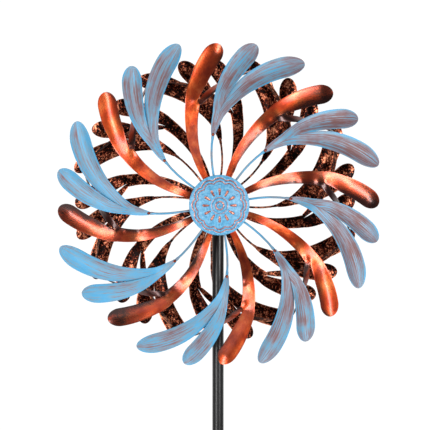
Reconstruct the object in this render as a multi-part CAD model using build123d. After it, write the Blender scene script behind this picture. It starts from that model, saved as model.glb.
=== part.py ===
from build123d import *
import os
from dataclasses import dataclass
from math import cos, pi, radians, sin, sqrt

os.makedirs("parts", exist_ok=True)

# A garden wind spinner: two rotors of curved, forked metal petals turn freely,
# each on its own pair of ball bearings, on one level axle through the head of a
# pole that stands on a pronged ground stake.  +Z is up, the front rotor faces
# -Y, and the origin is on the pole's axis at ground level.  Millimetres.

# ---- Driving sizes -----------------------------------------------------------
axle_height = 1600.0        # ground to the axle's centre line
front_radius = 305.0        # axle to the furthest petal tip, front rotor
rear_radius = 284.0         # the same on the rear rotor
pattern_radius = 305.0      # the rotor radius that the petals' patterns are drawn for
arm_pairs = 8               # strip arms, and as many rod arms, on each rotor
sheet = 1.2                 # thickness of the petal sheet
rod_radius = 2.0            # round rod that carries each pair of painted petals

# Pole and ground stake
pole_radius = 11.0
pole_wall = 1.5
pole_above_axle = 18.0
pole_names = ("lower", "middle", "upper")
coupler_length = 100.0
coupler_wall = 1.5
screw_radius = 3.0
screw_head_radius = 5.5
screw_head_length = 4.0
screw_above_joint = 22.0
step_bar_length = 170.0
step_bar_width = 25.0
step_bar_thickness = 5.0
spigot_length = 90.0
centre_prong_radius = 6.0
centre_prong_length = 200.0
side_prong_radius = 4.0
side_prong_length = 170.0
side_prong_inset = 10.0     # bar end to the side prong's centre line
prong_point = 30.0

# Axle, bearings and hubs, along the axle from the pole's axis outwards
axle_radius = 4.0
sleeve_wall = 4.0
sleeve_overhang = 6.0       # sleeve beyond the pole's skin
end_spacer = 4.0
bearing_width = 7.0
bearing_radius = 11.0
inner_ring_wall = 1.9
outer_ring_wall = 1.9
race_depth = 0.4            # how deep the balls sit in each ring's groove
balls_in_bearing = 7
bearing_spacing = 6.0
nut_across_flats = 13.0
nut_height = 7.0
axle_end_beyond_nut = 2.0
housing_wall = 2.5
housing_lip = 1.0
plate_radius = 48.0
plate_thickness = 2.5

# Covers over the two hubs
medallion_radius = 57.0
rear_cap_radius = 50.0
cover_sheet = 1.0
cover_rim_radius = 1.5
cover_over_axle = 1.6       # room between the axle's end and the dome inside
cover_over_rods = 3.2       # room for the rim over the rods, which rise towards it
collar_wall = 1.5
collar_lap = 6.0            # how far a collar goes down over its housing

# Petals.  Radii and widths are those of the pattern; a rotor of another radius has
# the same petals, larger or smaller, on the same hub.
hub_edge = 60.0             # radius where the arms start to swirl
strip_root_radius = 30.0
rod_root_radius = 22.0
rod_bends = 4               # bends of the rod between the hub plate and the leaf
rod_bend_radius = 60.0
arm_lift = 42.0             # how far the arms bow forward of the hub plate
arm_crest_radius = 180.0
arm_droop = 10.0            # how far the tips fall back from the crest
arm_set_back_length = 45.0  # how soon past the fork a set-back finger is right back
rod_arm_turn = 16.3         # degrees from a strip arm's root to the next rod arm
front_rest_turn = 18.2      # a strip arm's root at rest, clockwise from the top
rear_rest_turn = 20.2

# Clearances
press_gap = 0.02            # pressed or welded round joints
running_gap = 0.05          # balls in their races, axle in its sleeve
lay_gap = 0.05              # arms laid on the hub plate
air_gap = 0.6               # turning pieces past still ones

# ---- Places worked out from the sizes ----------------------------------------
sleeve_radius = axle_radius + sleeve_wall
sleeve_half = pole_radius + sleeve_overhang
inner_bearing_start = sleeve_half + end_spacer
outer_bearing_start = inner_bearing_start + bearing_width + bearing_spacing
bearing_stack_end = outer_bearing_start + bearing_width
nut_end = bearing_stack_end + nut_height
axle_half = nut_end + axle_end_beyond_nut
spacer_radius = axle_radius + inner_ring_wall - air_gap
inner_ring_radius = axle_radius + inner_ring_wall
race_gap = bearing_radius - outer_ring_wall - inner_ring_radius
ball_radius = race_gap / 2 + race_depth
ball_circle = inner_ring_radius + race_gap / 2
housing_bore = bearing_radius + press_gap
housing_radius = housing_bore + housing_wall
housing_start = inner_bearing_start - housing_lip
housing_end = bearing_stack_end + housing_lip
plate_front = (housing_start + housing_end) / 2 + plate_thickness / 2
arm_root_lift = plate_front + lay_gap
cover_rim_floor = arm_root_lift + 2 * rod_radius + cover_over_rods
cover_inner_apex = axle_half + cover_over_axle
cover_rise = cover_inner_apex - cover_rim_floor
coupler_radius = pole_radius - pole_wall - running_gap
section_length = (axle_height + pole_above_axle - step_bar_thickness) / len(pole_names)
section_joints = [step_bar_thickness + section_length * n for n in range(1, len(pole_names))]


@dataclass
class Finger:
    """One petal of a forked stamping, from the fork to its rounded tip.

    Angles are in degrees clockwise, seen from the rotor's own front.
    """

    tip_radius: float
    start_radius: float     # where its own swirl starts
    start_turn: float       # swirl from the arm's root line to that place
    tip_turn: float         # swirl from the arm's root line to the tip
    swirl_power: float      # above 1, the swirl tightens towards the tip
    width: float            # at the widest place
    pitch: float            # twist about its own length
    dish: float             # depth of the hollow across the widest place
    set_back: float         # how far behind the arm's own line it stands


# The bright strip arms: the main petal goes straight on, and a narrow second
# one branches off its trailing edge, folded back so that it stands on edge.
strip_root_width = 10.0
strip_fork_radius = 195.0
strip_main = Finger(296.0, hub_edge, 0.0, 26.8, 1.5, 36.0, 14.0, 5.0, 0.0)
strip_second = Finger(281.0, strip_fork_radius, 14.0, 50.0, 1.0, 22.0, 80.0, 2.5, 22.0)
strip_fork_width = 27.0
strip_second_share = 0.27   # of the width at the fork
strip_stations = 5          # sections that shape the stem

# The painted rod arms: two petals fan out from one flattened stem.
leaf_first = Finger(303.0, hub_edge, 0.0, 23.4, 1.5, 37.0, 14.0, 5.0, 0.0)
leaf_second = Finger(pattern_radius, hub_edge, 0.0, 41.3, 1.6, 39.0, 14.0, 5.0, 0.0)
leaf_root_radius = 132.0
leaf_root_width = 7.0
leaf_fork_radius = 205.0
leaf_fork_width = 36.0
leaf_second_share = 0.5
leaf_stations = 4

# Where a stamping forks
fork_pitch = 10.0           # twist of the sheet at the fork
fork_slot = 1.0             # gap between the roots of the two fingers
fork_inset = 0.2            # how much the stem is thinner than the fingers, each side
fork_tail = 0.3             # how far the stem runs on into them

# How every petal grows from its fork to its tip
petal_widest = 0.82         # share of its length where it is widest
petal_swell = 0.8           # power of the swell up to there
petal_blunt_tip = 0.14      # share of the width that is left at the very tip
petal_turned = 0.5          # share of its length where its twist is complete
petal_shares = (0.15, 0.3, 0.45, 0.6, 0.72, petal_widest, 0.92, 0.975, 1.0)


def turned(angle, shape):
    """Turn a shape clockwise about the rotor's axis, seen from its front."""
    return Rot(0, 0, -angle) * shape


def swirl(finger, radius):
    """Degrees that a finger's centre line has turned from its root line."""
    reach = finger.tip_radius - finger.start_radius
    share = max(0.0, (radius - finger.start_radius) / reach)
    return finger.start_turn + (finger.tip_turn - finger.start_turn) * share**finger.swirl_power


def smooth_rise(share):
    """Go from 0 to 1 with level ends."""
    share = min(1.0, max(0.0, share))
    return share * share * (3 - 2 * share)


def arm_height(radius):
    """Forward place of an arm's sheet: up from the plate, then gently back."""
    rise = smooth_rise((radius - hub_edge) / (arm_crest_radius - hub_edge))
    fall = smooth_rise((radius - arm_crest_radius) / (pattern_radius - arm_crest_radius))
    return arm_root_lift + sheet + arm_lift * rise - arm_droop * fall


def polar_point(radius, angle, height):
    """A point from its radius, its clockwise angle from the top, and its height."""
    return Vector(radius * sin(radians(angle)), radius * cos(radians(angle)), height)


def finger_point(finger, radius, size, back=0.0):
    """A point of a finger's centre line, on a rotor of a size against the pattern."""
    return polar_point(radius * size, swirl(finger, radius), arm_height(radius) - back)


def direction(line, radius):
    """Which way a centre line runs at a radius."""
    return (line(radius + 0.5) - line(radius - 0.5)).normalized()


def cross_plane(centre, along, pitch):
    """Plane square to an arm: x to its clockwise edge, y to its front."""
    side = along.cross(Vector(0, 0, 1)).normalized()
    pitched_side = side.rotate(Axis((0, 0, 0), along), -pitch)
    return Plane(origin=centre, x_dir=pitched_side, z_dir=along * -1)


def strip_outline(plane, left, right, dish, inset=0.0):
    """Closed outline of a dished strip of sheet, hollow towards its front."""
    left, right = left + inset, right - inset
    middle = (left + right) / 2
    front = [(left, -inset), (middle, -inset - 2 * dish), (right, -inset)]
    back = [(right, inset - sheet), (middle, inset - sheet - 2 * dish), (left, inset - sheet)]
    front = [plane.from_local_coords((x, y, 0)) for x, y in front]
    back = [plane.from_local_coords((x, y, 0)) for x, y in back]
    edges = [
        Edge.make_bezier(*front),
        Edge.make_line(front[2], back[0]),
        Edge.make_bezier(*back),
        Edge.make_line(back[2], front[0]),
    ]
    return Wire(edges)


def petal_width(finger, share, start_width):
    """Width at a share of the finger's length: it swells, then rounds off."""
    if share > petal_widest:
        towards_tip = (share - petal_widest) / (1 - petal_widest)
        return finger.width * sqrt(max(petal_blunt_tip**2, 1 - towards_tip**2))
    swell = sin(pi / 2 * share / petal_widest) ** petal_swell
    return start_width + (finger.width - start_width) * swell


def finger_solid(finger, fork_plane, fork_radius, left, right, size):
    """One finger, lofted from its part of the fork's own section to the tip."""
    start_width = (right - left) / size

    def line(radius):
        back = finger.set_back * smooth_rise((radius - fork_radius) / arm_set_back_length)
        return finger_point(finger, radius, size, back)

    outlines = [strip_outline(fork_plane, left, right, 0)]
    for share in petal_shares:
        radius = fork_radius + share * (finger.tip_radius - fork_radius)
        turn_in = smooth_rise(share / petal_turned)
        pitch = fork_pitch + (finger.pitch - fork_pitch) * turn_in
        width = petal_width(finger, share, start_width)
        dish = finger.dish * (width / finger.width) ** 2 * turn_in
        plane = cross_plane(line(radius), direction(line, radius), pitch)
        outlines.append(strip_outline(plane, -width * size / 2, width * size / 2, dish))
    return Solid.make_loft(outlines)


def stem_solid(line, stations, widths):
    """The single strip below the fork, lofted along its line, with a short tail past it.

    It is a hair narrower and thinner than the fingers, so that its tail runs inside
    them and joins them.  Returns the solid and the plane where it forks.
    """
    outlines = []
    for radius, width in zip(stations, widths):
        pitch = fork_pitch * smooth_rise((radius - stations[0]) / (stations[-1] - stations[0]))
        plane = cross_plane(line(radius), direction(line, radius), pitch)
        outlines.append(strip_outline(plane, -width / 2, width / 2, 0, fork_inset))
    tail = plane.offset(-fork_tail)
    outlines.append(strip_outline(tail, -widths[-1] / 2, widths[-1] / 2, 0, fork_inset))
    return Solid.make_loft(outlines), plane


def forked_sheet(line, stations, widths, fingers, second_share, size):
    """A stamping of one stem and two fingers, with a narrow slot between their roots."""
    stem, fork_plane = stem_solid(line, stations, widths)
    edge = widths[-1] / 2
    split = edge - second_share * widths[-1]
    spans = [(-edge, split - fork_slot / 2), (split + fork_slot / 2, edge)]
    solids = [
        finger_solid(finger, fork_plane, stations[-1], left, right, size)
        for finger, (left, right) in zip(fingers, spans)
    ]
    return stem.fuse(*solids)


def growing_widths(stations, from_radius, from_width, to_width):
    """Widths that stay level to a radius and then grow evenly to the fork."""
    length = stations[-1] - from_radius
    growth = [max(0.0, (radius - from_radius) / length) for radius in stations]
    return [from_width + (to_width - from_width) * g for g in growth]


def even_stations(start, end, count):
    """Radii at even steps, with both ends."""
    return [start + (end - start) * n / (count - 1) for n in range(count)]


def strip_arm(size):
    """A bright strip arm, from its lap on the hub plate to its two tips."""
    plate_edge = plate_radius / size
    root = strip_root_radius / size
    stations = [root] + even_stations(plate_edge, strip_fork_radius, strip_stations)
    widths = growing_widths(stations, plate_edge, strip_root_width, strip_fork_width * size)
    return forked_sheet(
        lambda radius: finger_point(strip_main, radius, size), stations, widths,
        (strip_main, strip_second), strip_second_share, size,
    )


def leaf_line(radius, size):
    """Centre line of a painted leaf below its fork: midway between its petals."""
    turn = (swirl(leaf_first, radius) + swirl(leaf_second, radius)) / 2
    return polar_point(radius * size, turn, arm_height(radius))


def painted_leaf(size):
    """A forked leaf of two painted petals."""
    stations = even_stations(leaf_root_radius, leaf_fork_radius, leaf_stations)
    widths = growing_widths(stations, leaf_root_radius, leaf_root_width, leaf_fork_width * size)
    return forked_sheet(
        lambda radius: leaf_line(radius, size), stations, widths,
        (leaf_first, leaf_second), leaf_second_share, size,
    )


def leaf_rod(size):
    """The round rod from the hub plate to a leaf's root, bent along the leaf's own line.

    It stays level until it is past the plate's edge.
    """
    lay_height = arm_root_lift + rod_radius
    under_leaf = Vector(0, 0, sheet / 2)
    first_bend = (hub_edge + rod_radius) / size
    corners = even_stations(first_bend, leaf_root_radius, rod_bends + 1)
    points = [polar_point(rod_root_radius, 0, lay_height)]
    for radius in corners:
        point = leaf_line(radius, size) - under_leaf
        points.append(Vector(point.X, point.Y, max(point.Z, lay_height)))
    path = FilletPolyline(*points, radius=rod_bend_radius)
    start = Plane(origin=points[0], z_dir=points[1] - points[0])
    return sweep(start * Circle(rod_radius), path=path)


def ring(outer, inner, start, end):
    """A plain ring or tube about the rotor's axis."""
    length = end - start
    wall = Circle(outer) - Circle(inner)
    return Pos(0, 0, start) * extrude(wall, amount=length)


def bearing_starts():
    """Where the two bearings of a rotor start along the axle."""
    return inner_bearing_start, outer_bearing_start


def race_groove(start):
    """The round groove that the balls of one bearing run in."""
    centre = Pos(0, 0, start + bearing_width / 2)
    return centre * Torus(ball_circle, ball_radius + running_gap)


def outer_rings():
    """The two bearing rings that turn with the hub."""
    inner = bearing_radius - outer_ring_wall
    rings = [ring(bearing_radius, inner, s, s + bearing_width) for s in bearing_starts()]
    return [r - race_groove(s) for r, s in zip(rings, bearing_starts())]


def inner_rings():
    """The two bearing rings that the nut clamps on the axle."""
    bore = axle_radius + press_gap
    rings = [ring(inner_ring_radius, bore, s, s + bearing_width) for s in bearing_starts()]
    return [r - race_groove(s) for r, s in zip(rings, bearing_starts())]


def bearing_balls():
    """The balls of both bearings, evenly spaced in their races."""
    balls = []
    for start in bearing_starts():
        for n in range(balls_in_bearing):
            centre = polar_point(ball_circle, 360 * n / balls_in_bearing, start + bearing_width / 2)
            balls.append(Pos(*centre) * Sphere(ball_radius))
    return balls


def bearing_housing():
    """Hub tube with a lip at each end that keeps the two bearings in."""
    tube = ring(housing_radius, housing_bore, housing_start, housing_end)
    between = ring(
        housing_bore, bearing_radius - outer_ring_wall,
        inner_bearing_start + bearing_width + press_gap, outer_bearing_start - press_gap,
    )
    return tube + between


def hub_plate():
    """The round plate that the arms are welded to."""
    return ring(plate_radius, housing_radius + press_gap, plate_front - plate_thickness, plate_front)


def dome_radius(edge_radius):
    """Radius of the sphere that a cover's inner face is part of."""
    rim = edge_radius - cover_rim_radius
    return (rim**2 + cover_rise**2) / (2 * cover_rise)


def cover_inside(radius, edge_radius):
    """Height of a domed cover's inner face at a radius."""
    curve = dome_radius(edge_radius)
    return cover_inner_apex - curve + sqrt(curve**2 - radius**2)


def domed_cover(edge_radius):
    """A shallow pressed dome with a rolled rim."""
    rim = edge_radius - cover_rim_radius
    floor = cover_inside(rim, edge_radius)
    curve = dome_radius(edge_radius)
    centre = Pos(0, 0, cover_inner_apex - curve)
    ball = centre * (Sphere(curve + cover_sheet) - Sphere(curve))
    cap = ball & (Pos(0, 0, floor) * extrude(Circle(rim), amount=2 * cover_rise))
    bead = Pos(0, 0, floor + cover_sheet / 2) * Torus(rim, cover_rim_radius)
    return cap + bead


def cover_collar(edge_radius, overlap):
    """The short tube behind a cover that is pushed over the bearing housing."""
    bore = housing_radius + press_gap
    outer = bore + collar_wall
    end = cover_inside(outer, edge_radius) + overlap
    return ring(outer, bore, housing_end - collar_lap, end)


def rear_cap():
    """The plain moulded cap of the rear hub, in one piece with its collar."""
    return domed_cover(rear_cap_radius) + cover_collar(rear_cap_radius, cover_sheet / 2)


# ---- Rotors ------------------------------------------------------------------
def facing_front(shape):
    """Carry a rotor piece to the front of the pole, where it faces -Y."""
    return Pos(0, 0, axle_height) * (Rot(90, 0, 0) * shape)


def facing_rear(shape):
    """Carry a rotor piece to the back of the pole, where it faces +Y."""
    return Pos(0, 0, axle_height) * (Rot(0, 0, 180) * (Rot(90, 0, 0) * shape))


def write(name, solids):
    """Write one node, as one solid or as a group of separate solids."""
    solids = solids if isinstance(solids, list) else [solids]
    shape = solids[0] if len(solids) == 1 else Compound(children=list(solids))
    export_step(shape, f"parts/{name}.step")


def write_rotor(name, carry, rotor_radius, strip_name, rest_turn):
    """Write every piece that both rotors have."""
    size = rotor_radius / pattern_radius
    spacing = 360 / arm_pairs
    strip = strip_arm(size)
    leaf = painted_leaf(size)
    rod = leaf_rod(size)
    rods = []
    for n in range(arm_pairs):
        strip_turn = rest_turn + n * spacing
        rod_turn = strip_turn + rod_arm_turn
        write(f"{name}_{strip_name}_{n + 1}", carry(turned(strip_turn, strip)))
        write(f"{name}_forked_leaf_{n + 1}", carry(turned(rod_turn, leaf)))
        rods.append(carry(turned(rod_turn, rod)))
    write(f"{name}_leaf_rods", rods)
    write(f"{name}_hub_plate", carry(hub_plate()))
    write(f"{name}_bearing_housing", carry(bearing_housing()))
    write(f"{name}_bearing_outer_rings", [carry(s) for s in outer_rings()])
    write(f"{name}_bearing_balls", [carry(s) for s in bearing_balls()])


# ---- Stand -------------------------------------------------------------------
def on_both_sides(solids):
    """Carry axle pieces to the front and to the rear of the pole."""
    return [facing_front(s) for s in solids] + [facing_rear(s) for s in solids]


def hex_nut():
    """The nut that holds a bearing stack on the axle."""
    flats = extrude(RegularPolygon(nut_across_flats / 2, 6, major_radius=False), amount=nut_height)
    bore = Cylinder(axle_radius + press_gap, 4 * nut_height)
    return Pos(0, 0, bearing_stack_end) * (flats - bore)


def spacers():
    """The inner spacer rings that the nuts clamp between the bearings."""
    bore = axle_radius + press_gap
    near = ring(spacer_radius, bore, sleeve_half, inner_bearing_start)
    between = ring(
        spacer_radius, bore, inner_bearing_start + bearing_width, outer_bearing_start
    )
    return [near, between]


def level_tube(outer, inner, half_length):
    """A tube along the axle's line, centred on the pole."""
    tube = ring(outer, inner, -half_length, half_length)
    return facing_front(tube)


def pole_section(number):
    """One length of the pole; the top one is closed and crossed by the sleeve."""
    bottom = step_bar_thickness + number * section_length
    tube = extrude(Circle(pole_radius), amount=section_length)
    bore_end = section_length
    if number == len(pole_names) - 1:
        bore_end = section_length - pole_wall
    tube -= extrude(Circle(pole_radius - pole_wall), amount=bore_end)
    tube = Pos(0, 0, bottom) * tube
    if number == len(pole_names) - 1:
        tube -= facing_front(Cylinder(sleeve_radius + press_gap, 4 * pole_radius))
    if number > 0:
        hole = Cylinder(screw_radius + press_gap, 2 * pole_radius)
        place = Pos(0, pole_radius, bottom + screw_above_joint)
        tube -= place * (Rot(90, 0, 0) * hole)
    return tube


def coupler(joint_height):
    """The inner tube that joins two lengths of pole."""
    start = joint_height - coupler_length / 2
    wall = Circle(coupler_radius) - Circle(coupler_radius - coupler_wall)
    return Pos(0, 0, start) * extrude(wall, amount=coupler_length)


def thumb_screw(joint_height):
    """A screw through the pole's rear wall that grips the coupler inside."""
    tip = coupler_radius + running_gap
    seat = pole_radius + running_gap
    shank = Pos(0, 0, tip) * extrude(Circle(screw_radius), amount=seat - tip)
    head = Pos(0, 0, seat) * extrude(Circle(screw_head_radius), amount=screw_head_length)
    screw = shank + head
    return Pos(0, 0, joint_height + screw_above_joint) * (Rot(-90, 0, 0) * screw)


def step_bar():
    """The flat bar that a foot presses to push the prongs in."""
    bar = SlotOverall(step_bar_length, step_bar_width)
    return extrude(bar, amount=step_bar_thickness)


def spigot():
    """The short post on the step bar that the pole drops over."""
    return Pos(0, 0, step_bar_thickness) * extrude(Circle(coupler_radius), amount=spigot_length)


def prong(radius, length):
    """A round prong that hangs under the step bar and ends in a point."""
    shank = extrude(Circle(radius), amount=-length)
    point = Pos(0, 0, -length - prong_point / 2) * (
        Rot(180, 0, 0) * Cone(radius, radius / 8, prong_point)
    )
    return shank + point


def write_stand():
    """Write every piece that stands still, from the axle down to the prongs."""
    for number, name in enumerate(pole_names):
        write(f"{name}_pole", pole_section(number))
    write("pole_couplers", [coupler(z) for z in section_joints])
    write("pole_thumb_screws", [thumb_screw(z) for z in section_joints])
    write("head_sleeve", level_tube(sleeve_radius, axle_radius + running_gap, sleeve_half))
    write("axle", facing_front(Cylinder(axle_radius, 2 * axle_half)))
    write("axle_spacers", on_both_sides(spacers()))
    write("axle_nuts", on_both_sides([hex_nut()]))
    write("bearing_inner_rings", on_both_sides(inner_rings()))
    write("step_bar", step_bar())
    write("pole_spigot", spigot())
    write("centre_prong", prong(centre_prong_radius, centre_prong_length))
    side = prong(side_prong_radius, side_prong_length)
    reach = step_bar_length / 2 - side_prong_inset
    write("side_prongs", [Pos(x, 0, 0) * side for x in (-reach, reach)])


write_rotor("front", facing_front, front_radius, "copper_arm", front_rest_turn)
write("front_medallion", facing_front(domed_cover(medallion_radius)))
write("front_medallion_collar", facing_front(cover_collar(medallion_radius, -lay_gap)))
write_rotor("rear", facing_rear, rear_radius, "strip_arm", rear_rest_turn)
write("rear_hub_cap", facing_rear(rear_cap()))
write_stand()
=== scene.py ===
"""A two-rotor garden wind spinner, from its ground stake up to its two hub covers."""
import math
from dataclasses import dataclass

import bpy
import numpy as np
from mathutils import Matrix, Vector


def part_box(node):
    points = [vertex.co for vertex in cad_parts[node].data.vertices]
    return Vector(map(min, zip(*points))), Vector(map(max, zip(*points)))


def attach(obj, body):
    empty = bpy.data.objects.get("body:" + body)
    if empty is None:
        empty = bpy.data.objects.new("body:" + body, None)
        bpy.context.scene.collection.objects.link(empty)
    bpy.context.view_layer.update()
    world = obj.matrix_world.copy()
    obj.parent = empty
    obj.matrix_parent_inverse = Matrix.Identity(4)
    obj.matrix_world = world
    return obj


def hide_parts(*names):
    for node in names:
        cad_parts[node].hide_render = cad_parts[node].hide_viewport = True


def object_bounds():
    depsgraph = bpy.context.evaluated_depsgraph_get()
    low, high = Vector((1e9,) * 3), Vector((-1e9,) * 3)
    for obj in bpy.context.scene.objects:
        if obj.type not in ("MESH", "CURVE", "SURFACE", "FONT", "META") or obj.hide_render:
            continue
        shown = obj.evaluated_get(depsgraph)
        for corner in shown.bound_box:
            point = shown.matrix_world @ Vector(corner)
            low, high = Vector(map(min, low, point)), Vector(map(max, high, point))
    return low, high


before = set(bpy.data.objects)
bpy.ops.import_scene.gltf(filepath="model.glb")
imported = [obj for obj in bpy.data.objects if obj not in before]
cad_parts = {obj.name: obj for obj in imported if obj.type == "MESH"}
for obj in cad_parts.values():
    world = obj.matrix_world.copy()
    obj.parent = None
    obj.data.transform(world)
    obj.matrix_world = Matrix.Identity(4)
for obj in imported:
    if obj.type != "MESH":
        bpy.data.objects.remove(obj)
cad_low, cad_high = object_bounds()


# ---- Ground stake ------------------------------------------------------------
# A flat step bar with three prongs welded under it and a spigot on top, cut from
# mild steel bar.  The whole stake is powder coated black after welding.
def hex_colour(code):
    """An sRGB hex colour as linear light, with alpha."""
    values = np.array([int(code[i:i + 2], 16) for i in (1, 3, 5)]) / 255
    linear = np.where(values <= 0.04045, values / 12.92, ((values + 0.055) / 1.055) ** 2.4)
    return (*linear, 1.0)


def new_finish(name):
    """A new material with its shader, and a function that adds nodes to it.

    add(kind, inputs, **settings) makes one node: inputs maps socket names or
    numbers to values, nodes or their outputs, and stops are a ramp's colours.
    """
    material = bpy.data.materials.new(name)
    material.use_nodes = True
    tree = material.node_tree
    shader = tree.nodes["Principled BSDF"]

    def add(kind, inputs, stops=None, **settings):
        node = shader if kind == "shader" else tree.nodes.new("ShaderNode" + kind)
        for setting, value in settings.items():
            setattr(node, setting, value)
        for position, colour in stops or []:
            ends = node.color_ramp.elements
            end = ends[0] if position == stops[0][0] else ends.new(position)
            end.position = position
            end.color = colour
        if stops:
            ends.remove(ends[-1])
        for socket, value in inputs.items():
            if isinstance(value, bpy.types.Node):
                value = next(output for output in value.outputs if output.enabled)
            if isinstance(value, bpy.types.NodeSocket):
                tree.links.new(value, node.inputs[socket])
            else:
                node.inputs[socket].default_value = value
        return node

    return material, add


def per_mm(size):
    """The noise scale, in repeats per metre, that makes a pattern this many mm across."""
    return 1000 / size


def black_powder_coat():
    """Semi-gloss polyester powder coat over steel tube and bar.

    It flows out nearly level when it is baked, so it shows soft, slightly wavy
    reflections with a fine orange peel, and a little grey dust and scuffing.
    """
    material, add = new_finish("black_powder_coat")
    place = add("TexCoord", {}).outputs["Object"]
    peel = add("TexNoise", {"Vector": place, "Scale": per_mm(1.8), "Detail": 2.0})
    scuffs = add("TexNoise", {"Vector": place, "Scale": per_mm(24), "Detail": 8.0, "Roughness": 0.7})
    colour = add("ValToRGB", {"Fac": scuffs}, stops=[
        (0.40, hex_colour("#060607")), (0.62, hex_colour("#0B0B0D")), (0.78, hex_colour("#131315")),
    ])
    rough = add("MapRange", {"Value": scuffs, 1: 0.35, 2: 0.75, 3: 0.32, 4: 0.42})
    bump = add("Bump", {"Height": peel, "Strength": 0.05, "Distance": 0.0001})
    add("shader", {
        "Base Color": colour, "Roughness": rough,
        "Normal": bump, "IOR": 1.5,
    })
    return material


def dress(material, slot_name, *names):
    """Give CAD nodes a finish; slot_name is not used."""
    for name in names:
        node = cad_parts[name]
        node.data.materials.clear()
        node.data.materials.append(material)


powder_coat = black_powder_coat()
dress(powder_coat, "black_painted_steel", "step_bar", "pole_spigot", "centre_prong", "side_prongs")


# ---- Pole --------------------------------------------------------------------
# Three equal lengths of round steel tube, butted end to end over inner couplers
# and gripped from behind by thumb screws.  Each end is rolled a little inwards.
MM = 0.001
tube_roll = 0.8             # radius of the rolled tube ends, mm
tube_facets = 64


def put_mesh(name, points, faces, material, values=None, sheet_map=None):
    """A smooth-shaded object at the origin from points in metres and faces.

    values maps an attribute's name to one number for each point; sheet_map is
    a pair of coordinates for each point, kept as a UV map.
    """
    mesh = bpy.data.meshes.new(name)
    mesh.from_pydata(points.reshape(-1, 3), [], faces)
    mesh.shade_smooth()
    for key, numbers in (values or {}).items():
        layer = mesh.attributes.new(key, "FLOAT", "POINT")
        layer.data.foreach_set("value", np.asarray(numbers, np.float32).ravel())
    if sheet_map is not None:
        corner_points = np.empty(len(mesh.loops), np.int32)
        mesh.loops.foreach_get("vertex_index", corner_points)
        layer = mesh.uv_layers.new(name="sheet")
        layer.data.foreach_set("uv", sheet_map.reshape(-1, 2)[corner_points].astype(np.float32).ravel())
    mesh.materials.append(material)
    thing = bpy.data.objects.new(name, mesh)
    bpy.context.scene.collection.objects.link(thing)
    return thing


def grid_faces(index, closed=False):
    """Four-sided faces between neighbours of a grid of point numbers.

    With closed, the last column joins the first again.
    """
    if closed:
        index = np.concatenate([index, index[:, :1]], axis=1)
    corners = (index[:-1, :-1], index[:-1, 1:], index[1:, 1:], index[1:, :-1])
    return np.stack([c.ravel() for c in corners], axis=-1).tolist()


def turned_surface(radii, heights, facets):
    """Points of a profile turned about Z: radius times (cosine, sine), and height."""
    angle = np.arange(facets) * 2 * np.pi / facets
    across = np.outer(radii, np.cos(angle))
    along = np.outer(radii, np.sin(angle))
    up = np.repeat(np.asarray(heights)[:, None], facets, axis=1)
    return np.stack([across, along, up], axis=-1)


def quarter_turn(steps=6):
    """Angles from 0 to 90 degrees."""
    return np.linspace(0, np.pi / 2, steps)


def pole_tube(name, node, closed_top):
    """A tube the size of its CAD node: straight wall between two rolled quarter-round ends."""
    low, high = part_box(node)
    radius = (high.x - low.x) / 2
    roll = tube_roll * MM
    turn = quarter_turn()
    bottom_r = radius - roll + roll * np.sin(turn)
    bottom_z = low.z + roll - roll * np.cos(turn)
    top_r = radius - roll + roll * np.cos(turn)
    top_z = high.z - roll + roll * np.sin(turn)
    inner = 0.02 * radius if closed_top else radius - 2.5 * roll
    radii = np.concatenate([[radius - 2.5 * roll], bottom_r, top_r, [inner]])
    heights = np.concatenate([[low.z + roll], bottom_z, top_z, [high.z if closed_top else high.z - roll]])
    points = turned_surface(radii, heights, tube_facets)
    index = np.arange(points.shape[0] * tube_facets).reshape(-1, tube_facets)
    faces = grid_faces(index, closed=True)
    faces.append(index[0][::-1].tolist())
    faces.append(index[-1].tolist())
    tube = put_mesh(name, points, faces, powder_coat)
    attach(tube, "stand")
    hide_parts(node)


pole_tube("lower_pole_tube", "lower_pole", closed_top=False)
pole_tube("middle_pole_tube", "middle_pole", closed_top=False)
pole_tube("upper_pole_tube", "upper_pole", closed_top=True)


def bright_zinc_plate():
    """Zinc plate on turned steel: pale grey metal with a faint cloudy passivation."""
    material, add = new_finish("bright_zinc_plate")
    place = add("TexCoord", {}).outputs["Object"]
    clouds = add("TexNoise", {"Vector": place, "Scale": per_mm(9), "Detail": 6.0})
    turning = add("TexNoise", {"Vector": place, "Scale": per_mm(0.6), "Detail": 2.0})
    colour = add("ValToRGB", {"Fac": clouds}, stops=[
        (0.35, hex_colour("#A9ACAE")), (0.55, hex_colour("#C4C6C4")), (0.72, hex_colour("#B9B7A6")),
    ])
    rough = add("MapRange", {"Value": clouds, 1: 0.3, 2: 0.7, 3: 0.24, 4: 0.42})
    bump = add("Bump", {"Height": turning, "Strength": 0.15, "Distance": 0.0001})
    add("shader", {
        "Base Color": colour, "Metallic": 1.0,
        "Roughness": rough, "Normal": bump,
    })
    return material


zinc_plate = bright_zinc_plate()
dress(zinc_plate, "zinc_plated_steel", "pole_couplers", "pole_thumb_screws")


# ---- Axle and bearings -------------------------------------------------------
# A level steel axle through a sleeve in the pole's head.  Two small ball bearings
# at each end, parted by spacers and held on by a nut, carry one rotor each.
def ground_bearing_steel():
    """Hardened chrome steel, ground bright: nearly mirror-like, with fine turning marks."""
    material, add = new_finish("ground_bearing_steel")
    place = add("TexCoord", {}).outputs["Object"]
    marks = add("TexNoise", {"Vector": place, "Scale": per_mm(0.5), "Detail": 3.0})
    colour = add("ValToRGB", {"Fac": marks}, stops=[
        (0.3, hex_colour("#B5B7BA")), (0.7, hex_colour("#DDDEE0")),
    ])
    rough = add("MapRange", {"Value": marks, 3: 0.12, 4: 0.24})
    add("shader", {
        "Base Color": colour, "Metallic": 1.0, "Roughness": rough,
    })
    return material


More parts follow.
